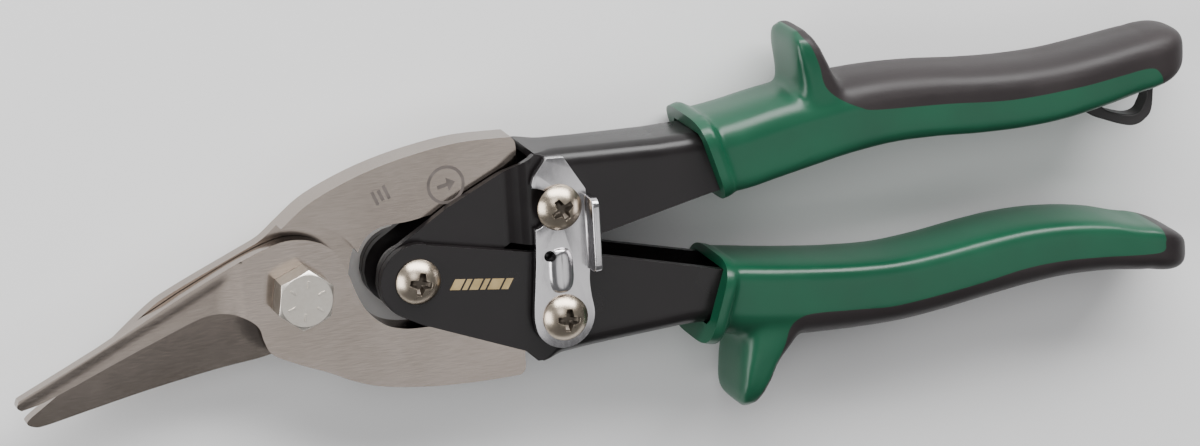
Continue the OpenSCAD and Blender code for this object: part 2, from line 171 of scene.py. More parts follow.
def circleLoop(x, y, r, count=72):
    return [(x + r * cos(2 * pi * i / count), y + r * sin(2 * pi * i / count))
            for i in range(count)]


def disc(name, x, y, r, low, high, count=72):
    return prism(name, circleLoop(x, y, r, count), low, high)


def skin(name, rings):  # rings of equal length, joined in order and closed at both ends
    count = len(rings[0])
    points = [p for ring in rings for p in ring]
    faces = []
    for i in range(len(rings) - 1):
        for j in range(count):
            k = (j + 1) % count
            faces.append((i * count + j, i * count + k, (i + 1) * count + k, (i + 1) * count + j))
    last = (len(rings) - 1) * count
    faces.append(tuple(reversed(range(count))))
    faces.append(tuple(range(last, last + count)))
    return meshFrom(name, points, faces)


def turned(name, profile, x, y, count=72):  # profile of (radius, height) round a Z axis
    rings = [[(x + r * cos(2 * pi * j / count), y + r * sin(2 * pi * j / count), z)
              for j in range(count)] for r, z in profile]
    return skin(name, rings)


def valuesAt(rows, x):  # smooth reading of a table of rows, first value is the place
    last = len(rows) - 1
    i = max(0, min(last - 1, sum(1 for r in rows if r[0] <= x) - 1))
    t = (x - rows[i][0]) / (rows[i + 1][0] - rows[i][0])
    a, b = rows[max(i - 1, 0)], rows[i]
    c, d = rows[i + 1], rows[min(i + 2, last)]
    return [curveValue(a[j], b[j], c[j], d[j], t) for j in range(1, len(b))]


def straightAt(rows, x):  # the same with straight runs
    if x <= rows[0][0]:
        return rows[0][1]
    for a, b in zip(rows, rows[1:]):
        if x <= b[0]:
            return a[1] + (b[1] - a[1]) * (x - a[0]) / (b[0] - a[0])
    return rows[-1][1]


def cadCopy(node, name):
    piece = newPiece(name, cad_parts[node].data.copy())
    shape = bmesh.new()
    shape.from_mesh(piece.data)
    bmesh.ops.remove_doubles(shape, verts=shape.verts, dist=1e-6)
    bmesh.ops.dissolve_limit(shape, angle_limit=radians(1), verts=shape.verts, edges=shape.edges)
    shape.to_mesh(piece.data)
    shape.free()
    return piece


def finished(piece, body, nodes, finish):
    piece.data.materials.clear()
    piece.data.materials.append(finish)
    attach(piece, body)
    if nodes:
        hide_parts(*nodes)
    return piece


# finishes

def newFinish(name):
    material = bpy.data.materials.new(name)
    material.use_nodes = True
    nodes = material.node_tree.nodes
    nodes.clear()
    output = nodes.new("ShaderNodeOutputMaterial")
    shader = nodes.new("ShaderNodeBsdfPrincipled")
    material.node_tree.links.new(shader.outputs[0], output.inputs[0])
    return material, nodes, material.node_tree.links, shader


def joinUp(links, *runs):  # each run: sending node, its socket, receiving node, its socket
    for sender, out, receiver, into in runs:
        links.new(sender.outputs[out], receiver.inputs[into])


def patternNode(nodes, links, stretch, scale, detail, turn=0):
    coords = nodes.new("ShaderNodeTexCoord")
    place = nodes.new("ShaderNodeMapping")
    place.inputs["Scale"].default_value = stretch
    place.inputs["Rotation"].default_value = (0, 0, turn)
    grain = nodes.new("ShaderNodeTexNoise")
    grain.inputs["Scale"].default_value = scale
    grain.inputs["Detail"].default_value = detail
    joinUp(links, (coords, "Object", place, "Vector"), (place, "Vector", grain, "Vector"))
    return grain


def rangeNode(nodes, links, source, span):  # spreads the middle of a pattern over the span
    step = nodes.new("ShaderNodeMapRange")
    for name, value in zip(("From Min", "From Max", "To Min", "To Max"), (0.3, 0.7, *span)):
        step.inputs[name].default_value = value
    links.new(source, step.inputs["Value"])
    return step.outputs["Result"]


def colourNode(nodes, links, source, dark, light, low=0.35, high=0.65):
    ramp = nodes.new("ShaderNodeValToRGB")
    for stop, place, colour in zip(ramp.color_ramp.elements, (low, high), (dark, light)):
        stop.position, stop.color = place, (*colour, 1)
    links.new(source, ramp.inputs["Fac"])
    return ramp.outputs["Color"]


def bumpNode(nodes, links, shader, source, strength, distance):
    bump = nodes.new("ShaderNodeBump")
    bump.inputs["Strength"].default_value = strength
    bump.inputs["Distance"].default_value = distance * mm
    links.new(source, bump.inputs["Height"])
    links.new(bump.outputs["Normal"], shader.inputs["Normal"])


evenly = (1, 1, 1)
grainShare = 0.5  # fine grain against broad blotches, on metal


def metalFinish(name, s):
    # s: dark, light, rough, stretch, grain, turn, bump, depth, blotch
    material, nodes, links, shader = newFinish(name)
    grain = patternNode(nodes, links, s["stretch"], s["grain"], 5, s.get("turn", 0))
    blotch = patternNode(nodes, links, evenly, s["blotch"], 3)
    mix = nodes.new("ShaderNodeMath")
    mix.operation = "MULTIPLY_ADD"
    mix.inputs[1].default_value = grainShare
    rest = nodes.new("ShaderNodeMath")
    rest.operation = "MULTIPLY"
    rest.inputs[1].default_value = 1 - grainShare
    joinUp(links, (grain, "Fac", mix, 0), (blotch, "Fac", rest, 0), (rest, 0, mix, 2))
    links.new(colourNode(nodes, links, mix.outputs[0], s["dark"], s["light"], 0.38, 0.62),
              shader.inputs["Base Color"])
    links.new(rangeNode(nodes, links, mix.outputs[0], s["rough"]), shader.inputs["Roughness"])
    shader.inputs["Metallic"].default_value = 1
    bumpNode(nodes, links, shader, grain.outputs["Fac"], s["bump"], s["depth"])
    return material


steelLook = {"dark": (0.30, 0.255, 0.222), "light": (0.37, 0.32, 0.282), "rough": (0.15, 0.21),
             "stretch": (0.5, 7, 7), "grain": 800, "turn": radians(-18), "bump": 0.035,
             "depth": 0.005, "blotch": 45}
# the front jaw's copy turns its grain its own way, which is real, and has a lighter light tone,
# which is painted light: both jaws are the same steel, and the rear jaw's darker tone stands for
# the shade it lies in
frontSteelLitLook = dict(steelLook, turn=radians(-24), light=(0.39, 0.338, 0.30))
nickelLook = {"dark": (0.50, 0.42, 0.33), "light": (0.57, 0.49, 0.39), "rough": (0.25, 0.31),
              "stretch": evenly, "grain": 900, "bump": 0.03, "depth": 0.006, "blotch": 120}
zincLook = {"dark": (0.54, 0.525, 0.535), "light": (0.62, 0.605, 0.615), "rough": (0.17, 0.26),
            "stretch": (3, 1, 3), "grain": 500, "bump": 0.04, "depth": 0.008, "blotch": 90}
wireLook = {"dark": (0.16, 0.155, 0.15), "light": (0.30, 0.29, 0.28), "rough": (0.28, 0.44),
            "stretch": evenly, "grain": 1600, "bump": 0.1, "depth": 0.02, "blotch": 300}

# lit and shaded copies of one steel: the front jaw's is painted lighter
litFrontSteel = metalFinish("frontJawSteelLit", frontSteelLitLook)
rearSteel = metalFinish("rearJawSteel", steelLook)
nickel = metalFinish("nickelPlate", nickelLook)
zinc = metalFinish("zincPlate", zincLook)
boltPlate = metalFinish("boltPlate", {
    "dark": (0.70, 0.65, 0.58), "light": (0.80, 0.75, 0.68), "rough": (0.32, 0.42),
    "stretch": evenly, "grain": 900, "bump": 0.05, "depth": 0.008, "blotch": 150})
# dark finish for the inside of the screws' driver recesses: painted shade, standing for the shade
# deep in the recess
paintedRecessShade = metalFinish("paintedRecessShade", {
    "dark": (0.10, 0.085, 0.07), "light": (0.17, 0.145, 0.12), "rough": (0.42, 0.55),
    "stretch": evenly, "grain": 900, "bump": 0.05, "depth": 0.008, "blotch": 200})
springWire = metalFinish("springWire", wireLook)


def coatFinish(name, s):
    # coloured plastic, paint or rubber; s: dark, light, rough, broad, grain, bump, depth, specular
    material, nodes, links, shader = newFinish(name)
    broad = patternNode(nodes, links, evenly, s["broad"], 3)
    fine = patternNode(nodes, links, evenly, s["grain"], 4)
    links.new(colourNode(nodes, links, broad.outputs["Fac"], s["dark"], s["light"]),
              shader.inputs["Base Color"])
    links.new(rangeNode(nodes, links, broad.outputs["Fac"], s["rough"]),
              shader.inputs["Roughness"])
    bumpNode(nodes, links, shader, fine.outputs["Fac"], s["bump"], s["depth"])
    shader.inputs["Specular IOR Level"].default_value = s.get("specular", 0.5)
    return material


blackCoat = coatFinish("blackHandleCoat", {
    "dark": (0.007, 0.0058, 0.006), "light": (0.011, 0.009, 0.0095), "rough": (0.27, 0.36),
    "broad": 60, "grain": 1500, "bump": 0.10, "depth": 0.03, "specular": 0.42})
greenGrip = coatFinish("greenGripPlastic", {
    "dark": (0.003, 0.056, 0.027), "light": (0.005, 0.074, 0.036), "rough": (0.30, 0.40),
    "broad": 45, "grain": 1100, "bump": 0.12, "depth": 0.05, "specular": 0.5})
darkPad = coatFinish("softGripPad", {
    "dark": (0.016, 0.0125, 0.013), "light": (0.023, 0.018, 0.0185), "rough": (0.42, 0.55),
    "broad": 60, "grain": 1500, "bump": 0.28, "depth": 0.08, "specular": 0.4})
loopPlastic = coatFinish("loopPlastic", {
    "dark": (0.026, 0.024, 0.024), "light": (0.038, 0.034, 0.035), "rough": (0.38, 0.5),
    "broad": 90, "grain": 1200, "bump": 0.15, "depth": 0.04, "specular": 0.45})
goldPrint = coatFinish("goldPrint", {
    "dark": (0.30, 0.215, 0.095), "light": (0.42, 0.31, 0.15), "rough": (0.34, 0.46),
    "broad": 300, "grain": 1500, "bump": 0.05, "depth": 0.01})
etchDark = coatFinish("etchedMark", {
    "dark": (0.085, 0.072, 0.065), "light": (0.13, 0.11, 0.10), "rough": (0.55, 0.7),
    "broad": 400, "grain": 1800, "bump": 0.1, "depth": 0.01})
print("stage: finishes made")


# the two jaws

jawCuts = {"lap": 0.15, "bolt": 4.05, "link": 3.05, "ease": 0.62}
frontJaw = {
    "name": "frontJaw",
    "recess": 16.4,
    "outline": [
        (-59.7, -13.2, 1), (-42.5, -5.5, 1), (-24.6, 3.3, 1), (-12.2, 8.7), (-4.2, 11.3),
        (0.7, 11.5), (5.4, 9.9), (8.6, 7), (10.6, 2.5), (12.2, -2.3), (14.1, -6),
        (17.3, -9.2), (20.7, -10.7), (24.9, -11.3), (34, -11.2), (43, -8.6), (49, -7, 1),
        (54.4, -4.9), (59.4, -6.9), (61.4, -11.9), (59.4, -16.9), (54.4, -18.9), (50, -17.8, 1),
        (47.6, -19.8), (47.4, -23.4), (46.6, -24.8), (44.8, -25.1), (35.6, -25), (26.2, -24.3),
        (16.5, -22.7), (10.5, -20.6), (5.1, -17.8), (-1.5, -14.8), (-6.6, -11.9),
        (-8.2, -8.8), (-9, -5.9), (-11.2, -3.7), (-14.5, -2.1), (-17.9, -1.6), (-21.5, -2.1),
        (-28.6, -4.6), (-35.7, -7.2), (-42.9, -10), (-50.1, -12.8), (-55.3, -14.6),
        (-59.2, -15.4, 1), (-60.1, -14.6)],
    "bladeSide": [(-70, -40), (3, -40), (4.4, -17), (0, 0), (0, 40), (-70, 40)],
    "bend": -11.5,
    "rim": ((-59.7, -13.2), (-12.2, 8.7)),
    "grind": {"run": 5, "lip": 0.5, "step": 0.1, "stepRun": 1.6, "slope": 0.058, "tip": 0.014},
    "pin": pinLower,
}
rearJaw = {
    "name": "rearJaw",
    "recess": 14.6,
    "outline": [
        (-57.7, -19), (-56.2, -20.3), (-53.6, -20.3), (-45.7, -18.9), (-31.7, -16.5),
        (-17.4, -14.6), (-8, -13.8), (-3, -12.8), (0.7, -11.5), (5.4, -9.9), (8.6, -7),
        (10.6, -2.5), (11.6, 2), (12.7, 6.2), (14.8, 9.7), (18.4, 11.5), (24.4, 11.8),
        (30.3, 12.5), (36, 11.4), (43, 8.6), (49, 7, 1), (54.4, 4.9), (59.4, 6.9),
        (61.4, 11.9), (59.4, 16.9), (54.4, 18.9), (50, 17.8, 1), (48.1, 19.8), (48.1, 24.4),
        (47.4, 26), (46, 26.4), (35.8, 26.8), (25.8, 25.7), (16.7, 23.8), (8.8, 21.2),
        (2.7, 18.4), (-2.5, 14.6), (-6.5, 11.6), (-11.9, 9.3), (-24.6, 4), (-31, 0.6),
        (-42, -8, 1), (-50, -13.6, 1), (-54.5, -16.6, 1)],
    "bladeSide": [(-70, -40), (0, -40), (-2, -13), (0, 0), (-4.6, 13.2), (-8, 40), (-70, 40)],
    "bend": -0.5,
    "rim": ((-60, -15.0), (-16, 3.4)),
    "grind": {"run": 2, "hub": 9.5, "hubRun": 2.5, "slope": 0.086},
    "pin": pinUpper,
}


def makeJaw(s, side):
    # side +1: blade and hub on the top half, -1: on the bottom half
    jaw = prism(s["name"], smoothLoop(s["outline"]), midZ - jawHalf, midZ + jawHalf)
    low, high = sorted((midZ + jawCuts["lap"] * side, midZ - (jawHalf + 1) * side))
    combine(jaw, disc("hub", 0, 0, s["recess"], low, high, 144), "DIFFERENCE")
    combine(jaw, prism("bladeSide", s["bladeSide"], low, high), "DIFFERENCE")
    for x, y, r in ((0, 0, jawCuts["bolt"]), (*s["pin"][:2], jawCuts["link"])):
        combine(jaw, disc("bore", x, y, r, midZ - 9, midZ + 9), "DIFFERENCE")
    easeRims(jaw, jawCuts["ease"])
    bladeGrind(jaw, s, side)
    return jaw


def eased(t):
    t = min(1, max(0, t))
    return t * t * (3 - 2 * t)


def slopeOf(line):
    (xa, ya), (xb, yb) = line
    return (yb - ya) / (xb - xa)


def below(line, x, y):  # distance below a straight line given by two points
    slope = slopeOf(line)
    return (line[0][1] + slope * (x - line[0][0]) - y) / sqrt(1 + slope * slope)


def frontGrind(s, x, y):
    # hollow-ground face: a raised rim on top, falling towards the cutting edge and the tip
    g, along = s["grind"], s["bend"] - x
    w = max(0, below(s["rim"], x, y) - g["lip"])
    fall = g["step"] * eased(w / g["stepRun"]) + g["slope"] * w
    return eased(along / g["run"]) * fall + g["tip"] * max(0, along)


def rearGrind(s, x, y):
    # the lap face is relieved below the line where the blades meet
    g = s["grind"]
    w = max(0, below(s["rim"], x, y))
    clear = eased((sqrt(x * x + y * y) - g["hub"]) / g["hubRun"])
    return g["slope"] * w * clear * eased((s["bend"] - x) / g["run"])


grindBlock = {"tip": -64, "columns": 44, "rows": 24, "above": 1.5, "reach": 27, "top": 6,
              "clear": 0.0005}


def bladeGrind(jaw, s, side):
    # takes away a block whose underside is the ground face
    top = midZ + (jawHalf if side > 0 else -jawCuts["lap"])
    depthAt = frontGrind if side > 0 else rearGrind
    g = grindBlock
    columns, rows = g["columns"], g["rows"]
    points, faces = [], []
    for i in range(columns + 1):
        x = g["tip"] + i * (s["bend"] - g["tip"]) / columns
        rimY = s["rim"][0][1] + slopeOf(s["rim"]) * (x - s["rim"][0][0])
        for j in range(rows + 1):
            y = rimY + g["above"] - g["reach"] * j / rows
            points.append((x, y, top - depthAt(s, x, y) + g["clear"]))
    count = len(points)
    points += [(x, y, midZ + g["top"]) for x, y, z in points]

    def at(i, j, upper=0):
        return i * (rows + 1) + j + upper * count

    for i in range(columns):
        for j in range(rows):
            faces.append((at(i, j), at(i + 1, j), at(i + 1, j + 1), at(i, j + 1)))
            faces.append((at(i, j, 1), at(i, j + 1, 1), at(i + 1, j + 1, 1), at(i + 1, j, 1)))
        for j in (0, rows):
            faces.append((at(i, j), at(i, j, 1), at(i + 1, j, 1), at(i + 1, j)))
    for i in (0, columns):
        for j in range(rows):
            faces.append((at(i, j), at(i, j + 1), at(i, j + 1, 1), at(i, j, 1)))
    combine(jaw, meshFrom("grind", points, faces), "DIFFERENCE")


for spec, side, body, node, finish in (
        (frontJaw, 1, frontBody, "front_jaw", litFrontSteel),
        (rearJaw, -1, rearBody, "rear_jaw", rearSteel)):
    finished(smoothShade(makeJaw(spec, side), 35), body, [node], finish)
print("stage: jaws made")


# marks: plain shapes with no words

markSkin = {"lift": 0.02, "root": 0.05}  # above and below the face it lies on


def flatMark(name, loops, face, body, finish):
    points, faces = [], []
    for loop in loops:
        start, count = len(points), len(loop)
        points += [(x, y, face + markSkin["lift"]) for x, y in loop]
        points += [(x, y, face - markSkin["root"]) for x, y in loop]
        faces.append(tuple(range(start, start + count)))
        faces.append(tuple(reversed(range(start + count, start + 2 * count))))
        faces += [(start + count + i, start + count + (i + 1) % count,
                   start + (i + 1) % count, start + i) for i in range(count)]
    mark = meshFrom(name, points, faces)
    return finished(mark, body, [], finish)


def movedLoop(loop, x, y, turn):
    return [(x + a * cos(turn) - b * sin(turn), y + a * sin(turn) + b * cos(turn))
            for a, b in loop]


jawMark = {"x": 32.6, "y": 18.3, "outer": 4.1, "inner": 3.45, "turn": radians(12),
           "arrow": [(-1.9, -0.4), (0.3, -0.4), (0.3, -1.5), (2.1, 0), (0.3, 1.5), (0.3, 0.4),
                     (-1.9, 0.4)]}


def ringSegments(x, y, outer, inner, count=48):
    rings = []
    for i in range(count):
        a, b = 2 * pi * i / count, 2 * pi * (i + 1) / count
        rings.append([(x + inner * cos(a), y + inner * sin(a)),
                      (x + outer * cos(a), y + outer * sin(a)),
                      (x + outer * cos(b), y + outer * sin(b)),
                      (x + inner * cos(b), y + inner * sin(b))])
    return rings


markLoops = ringSegments(jawMark["x"], jawMark["y"], jawMark["outer"], jawMark["inner"])
markLoops.append(movedLoop(jawMark["arrow"], jawMark["x"], jawMark["y"], jawMark["turn"]))
flatMark("jawDirectionMark", markLoops, midZ + jawHalf, rearBody, etchDark)

sizeBars = {"x": 18.6, "y": 18.2, "turn": radians(202), "width": 0.7, "step": 1.35,
            "lengths": (3.2, 2.496, 3.2)}
barLoops = []
for i, length in enumerate(sizeBars["lengths"]):
    w, h, shift = sizeBars["width"] / 2, length / 2, (i - 1) * sizeBars["step"]
    barLoops.append(movedLoop([(shift - w, -h), (shift + w, -h), (shift + w, h), (shift - w, h)],
                              sizeBars["x"], sizeBars["y"], sizeBars["turn"]))
flatMark("jawSizeBars", barLoops, midZ + jawHalf, rearBody, etchDark)
print("stage: marks made")


# the handles, folded from sheet

# outlines of each wall are given as if the handle pointed up, and face is half the width
channel = {"sheet": 1.7, "bendRadius": 3.4, "startRadius": 0.25, "bendRun": 5, "end": 112,
           "lobe": 8, "rows": 12, "arcSteps": 6, "webSteps": 4, "step": 1.5, "closest": 0.2,
           "ease": 0.28}
upperChannel = {
    "name": "upperHandle",
    "side": 1,
    "webStart": 50.6,
    "web": [(50.6, 23.3), (62.5, 22.6), (78.3, 21.9), (92, 21.9), (104, 22.5), (112, 23.3)],
    "outer": [(20.2, 7.04), (32, 14.1), (49.4, 22.2), (50.6, 23.0)],
    "inner": [(30, -5.3), (41, 2), (45, 4.6), (49, 3.9), (64.9, 4.2), (90.5, 9.6), (104, 12),
              (112, 13.3)],
    "face": [(10, 5.5), (43.5, 5.5), (44.6, 5.65), (46, 6.2), (47.4, 7), (48.6, 7.4),
             (49.6, 7.5), (60, 7.5), (64, 7.55), (88, 8), (97, 8.7), (108, 7.1), (112, 7.1)],
}
lowerChannel = {
    "name": "lowerHandle",
    "side": -1,
    "webStart": 50,
    "web": [(50, 21.5), (62, 20.5), (81.9, 19.4), (92, 19.6), (104, 21), (112, 21.7)],
    "outer": [(20.2, 7.04), (24.2, 9.3), (46.2, 18.6), (48.8, 21.2), (50, 21.4)],
    "inner": [(26.4, -7.4), (46.9, -2.8), (65.3, 1.1), (93.1, 8.6), (104, 11.2), (112, 12.3)],
    "face": [(10, 7.5), (60, 7.5), (64, 7.55), (88, 8), (97, 8.7), (108, 7.1), (112, 7.1)],
}


def lobeReach(x):
    return sqrt(max(0, channel["lobe"] ** 2 - (x - handlePin[0]) ** 2))


def wallTop(s, x):
    if x < s["outer"][0][0]:
        return lobeReach(x)
    if x < s["webStart"]:
        return straightAt(s["outer"], x)
    return straightAt(s["web"], x) - bendAt(s, x)


def wallFoot(s, x):
    if x < s["inner"][0][0]:
        return -lobeReach(x)
    return straightAt(s["inner"], x)


def bendAt(s, x):
    small, grown = channel["startRadius"], eased((x - s["webStart"]) / channel["bendRun"])
    return small + (channel["bendRadius"] - small) * grown


def channelStations(s):
    # places along the handle: round the lobe, at every row of its tables, and evenly between
    left, end = handlePin[0] - channel["lobe"], channel["end"]
    arc = [handlePin[0] - channel["lobe"] * cos(radians(a)) for a in range(0, 61, 6)]
    marks = [p[0] for key in ("outer", "inner", "web", "face") for p in s[key]]
    run = [arc[-1] + i * channel["step"] for i in range(1, 62)]
    places = sorted(set(round(x, 3) for x in arc + run + marks if left <= x <= end))
    kept = [places[0]]
    for x in places[1:]:
        if x - kept[-1] > channel["closest"] or x == s["webStart"]:
            kept.append(x)
    return kept


def makeChannel(s):
    side, rows = s["side"], channel["rows"]
    arcSteps, webSteps = channel["arcSteps"], channel["webSteps"]
    shape = bmesh.new()
    sheetRows = []

    def corner(x, y, z):
        return shape.verts.new((x * mm, y * side * mm, (midZ + z) * mm))

    for x in channelStations(s):
        face = straightAt(s["face"], x)
        top, foot = wallTop(s, x), wallFoot(s, x)
        wallFront = [corner(x, foot + (top - foot) * i / rows, face) for i in range(rows + 1)]
        wallRear = [corner(x, foot + (top - foot) * i / rows, -face) for i in range(rows + 1)]
        crown = []
        if x >= s["webStart"]:
            r, web = bendAt(s, x), straightAt(s["web"], x)
            span = face - r
            bend = [(web - r + r * sin(a), span + r * cos(a))
                    for a in (pi / 2 * i / arcSteps for i in range(1, arcSteps + 1))]
            crown += [corner(x, y, z) for y, z in bend]
            crown += [corner(x, web, span - 2 * span * i / webSteps) for i in range(1, webSteps)]
            crown += [corner(x, y, -z) for y, z in reversed(bend)]
        sheetRows.append((wallFront, crown, wallRear))
    for (fa, ca, ra), (fb, cb, rb) in zip(sheetRows, sheetRows[1:]):
        for a, b in ((fa, fb), (ra, rb)):
            for i in range(rows):
                shape.faces.new((a[i], b[i], b[i + 1], a[i + 1]))
        if ca and cb:
            crownA, crownB = [fa[-1]] + ca + [ra[-1]], [fb[-1]] + cb + [rb[-1]]
            for i in range(len(crownA) - 1):
                shape.faces.new((crownA[i], crownB[i], crownB[i + 1], crownA[i + 1]))
    mesh = bpy.data.meshes.new(s["name"])
    shape.to_mesh(mesh)
    shape.free()
    handle = squareUp(newPiece(s["name"], mesh), 1e-5)
    pointOutwards(handle)
    thicken = handle.modifiers.new("sheet", "SOLIDIFY")
    thicken.thickness = channel["sheet"] * mm
    thicken.offset = -1
    thicken.use_even_offset = True
    squareUp(settle(handle))
    return easeEdges(handle, channel["ease"], 2, 50)


def pointOutwards(sheet):
    # walls must face away from the middle plane before they get their thickness
    shape = bmesh.new()
    shape.from_mesh(sheet.data)
    for f in shape.faces:
        centre = f.calc_center_median()
        outwards = (f.normal.z * (centre.z - midZ * mm) if abs(f.normal.z) > 0.5
                    else f.normal.y * centre.y)
        if outwards < 0:
            f.normal_flip()
    shape.to_mesh(sheet.data)
    shape.free()


for spec, body, node in ((upperChannel, upperBody, "upper_handle"),
                         (lowerChannel, lowerBody, "lower_handle")):
    finished(smoothShade(makeChannel(spec), 50), body, [node], blackCoat)
print("stage: handles made")

printBars = {"x": 37.6, "y": -2.7, "turn": radians(-8), "height": 2.3, "lean": 0.5,
             "widths": (2.2, 1.1, 1.9, 1.1, 2.6, 1.5), "gap": 0.45}


def barRow(s):
    total = sum(s["widths"]) + s["gap"] * (len(s["widths"]) - 1)
    at, loops = -total / 2, []
    for w in s["widths"]:
        h, lean = s["height"] / 2, s["lean"]
        loops.append(movedLoop([(at - lean, -h), (at + w - lean, -h), (at + w + lean, h),
                                (at + lean, h)], s["x"], s["y"], s["turn"]))
        at += w + s["gap"]
    return loops


flatMark("handlePrint", barRow(printBars), handleFace, lowerBody, goldPrint)


# main pivot, washers, nuts and spacers

pivotBolt = {"flats": 11.1, "height": 5.22, "chamfer": 0.55, "turn": radians(21), "shank": 4,
             "dashCount": 6, "dashRadius": 3.45, "dashLength": 1.6, "dashWidth": 0.42,
             "dashRise": 0.16, "dashTurn": radians(21)}


def heightsOf(node):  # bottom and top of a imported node, in millimetres
    return [corner[2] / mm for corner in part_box(node)]


def hexLoop(x, y, corner, turn=0):
    return [(x + corner * cos(turn + i * pi / 3), y + corner * sin(turn + i * pi / 3))
            for i in range(6)]


def makeBolt(s):
    low, high = heightsOf("pivot_bolt")
    seat = high - s["height"]
    corner = s["flats"] / sqrt(3)
    head = prism("pivotBolt", hexLoop(0, 0, corner, s["turn"]), seat, high)
    cone = turned("cone", [(corner + 1, seat - 0.5), (corner + 1, high - s["chamfer"] - 0.55),
                           (s["flats"] / 2 - 0.1, high + 0.001)], 0, 0, 96)
    combine(head, cone, "INTERSECT")
    combine(head, disc("shank", 0, 0, s["shank"], low, seat + 0.5, 64), "UNION")
    return easeEdges(head, 0.16, 2, 25)


def geometryTree(name):
    tree = bpy.data.node_groups.new(name, "GeometryNodeTree")
    tree.interface.new_socket("Geometry", in_out="INPUT", socket_type="NodeSocketGeometry")
    tree.interface.new_socket("Geometry", in_out="OUTPUT", socket_type="NodeSocketGeometry")
    return tree


def treeInput(tree, name, kind, value):
    socket = tree.interface.new_socket(name, in_out="INPUT", socket_type="NodeSocket" + kind)
    socket.default_value = value


def runTree(piece, tree, values):  # set the named inputs, then keep the result as a mesh
    step = piece.modifiers.new(tree.name, "NODES")
    step.node_group = tree
    for item in tree.interface.items_tree:
        if item.in_out == "INPUT" and item.name in values:
            step[item.identifier] = values[item.name]
    return settle(piece)


def closeTree(tree, source, finish):  # realise, give the finish, send out
    nodes, links = tree.nodes, tree.links
    realise = nodes.new("GeometryNodeRealizeInstances")
    paint = nodes.new("GeometryNodeSetMaterial")
    paint.inputs["Material"].default_value = finish
    output = nodes.new("NodeGroupOutput")
    links.new(source, realise.inputs["Geometry"])
    joinUp(links, (realise, "Geometry", paint, "Geometry"),
           (paint, "Geometry", output, "Geometry"))


def gradeDashTree(finish):
    # a ring of raised dashes, each pointing away from the centre
    tree = geometryTree("gradeDashes")
    for name, kind, value in (("Count", "Int", 6), ("Radius", "Float", 0.003),
                              ("Size", "Vector", (0.001, 0.001, 0.001)),
                              ("Place", "Vector", (0, 0, 0)), ("Turn", "Float", 0.0)):
        treeInput(tree, name, kind, value)
    nodes, links = tree.nodes, tree.links
    source = nodes.new("NodeGroupInput")
    ring = nodes.new("GeometryNodeMeshCircle")
    bar = nodes.new("GeometryNodeMeshCube")
    spread = nodes.new("GeometryNodeInstanceOnPoints")
    place = nodes.new("GeometryNodeInputPosition")
    align = nodes.new("FunctionNodeAlignRotationToVector")
    align.axis = "X"
    align.pivot_axis = "Z"
    turnBy = nodes.new("ShaderNodeCombineXYZ")
    move = nodes.new("GeometryNodeTransform")
    joinUp(links, (source, "Count", ring, "Vertices"), (source, "Radius", ring, "Radius"),
           (source, "Size", bar, "Size"), (place, "Position", align, "Vector"),
           (ring, "Mesh", spread, "Points"), (bar, "Mesh", spread, "Instance"),
           (align, "Rotation", spread, "Rotation"), (source, "Turn", turnBy, "Z"),
           (spread, "Instances", move, "Geometry"), (source, "Place", move, "Translation"),
           (turnBy, "Vector", move, "Rotation"))
    closeTree(tree, move.outputs["Geometry"], finish)
    return tree


finished(smoothShade(makeBolt(pivotBolt), 24), rearBody, ["pivot_bolt"], boltPlate)

dashes = newPiece("boltGradeDashes", bpy.data.meshes.new("boltGradeDashes"))
runTree(dashes, gradeDashTree(boltPlate), {
    "Count": pivotBolt["dashCount"], "Radius": pivotBolt["dashRadius"] * mm,
    "Size": (pivotBolt["dashLength"] * mm, pivotBolt["dashWidth"] * mm,
             pivotBolt["dashRise"] * mm * 2),
    "Place": (0, 0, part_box("pivot_bolt")[1][2]), "Turn": pivotBolt["dashTurn"]})
easeEdges(dashes, 0.06, 2)
finished(dashes, rearBody, [], boltPlate)

linkNut = {"flats": 10, "bore": 3}
spacer = {"edge": 0.2}
turnedParts = {  # node: body, slot, finish, sizes
    "pivot_washer": (rearBody, "zinc", zinc, {"edge": 0.18}),
    "pivot_lock_nut": (rearBody, "bolt", nickel, {"flats": 13, "bore": 4}),
    "handle_pivot_nut": (lowerBody, "bolt", nickel, linkNut),
    "upper_link_nut": (upperBody, "bolt", nickel, linkNut),
    "lower_link_nut": (lowerBody, "bolt", nickel, linkNut),
    "spring_sleeve": (lowerBody, "zinc", zinc, spacer),
    "upper_link_front_spacer": (upperBody, "zinc", zinc, spacer),
    "upper_link_rear_spacer": (upperBody, "zinc", zinc, spacer),
    "lower_link_front_spacer": (lowerBody, "zinc", zinc, spacer),
    "lower_link_rear_spacer": (lowerBody, "zinc", zinc, spacer),
    "latch_washer": (lowerBody, "bolt", nickel, {"edge": 0.1}),
}


def camel(node):
    first, *rest = node.split("_")
    return first + "".join(word.capitalize() for word in rest)


def hexNut(name, node, flats, bore):
    bottom, top = heightsOf(node)
    x, y = centreOf(node)[:2]
    corner = flats / sqrt(3)
    nut = prism(name, hexLoop(x, y, corner), bottom, top)
    cone = turned("cone", [(flats / 2 + 0.25, bottom - 0.001), (corner + 0.6, bottom + 0.7),
                           (corner + 0.6, top + 1)], x, y, 96)
    combine(nut, cone, "INTERSECT")
    mouth = turned("mouth", [(bore + 0.5, bottom - 0.5), (bore + 0.5, bottom - 0.001),
                             (bore, bottom + 0.5), (bore, top + 0.5)], x, y, 64)
    combine(nut, mouth, "DIFFERENCE")
    return nut


for node, (body, slotName, finish, sizes) in turnedParts.items():
    if "flats" in sizes:
        piece = hexNut(camel(node), node, sizes["flats"], sizes["bore"])
        smoothShade(easeEdges(piece, 0.15, 2, 25), 24)
    else:
        piece = cadCopy(node, camel(node))
        smoothShade(easeEdges(piece, sizes["edge"]), 30)
    finished(piece, body, [node], finish)
print("stage: bolt, nuts and spacers made")


# recessed screws

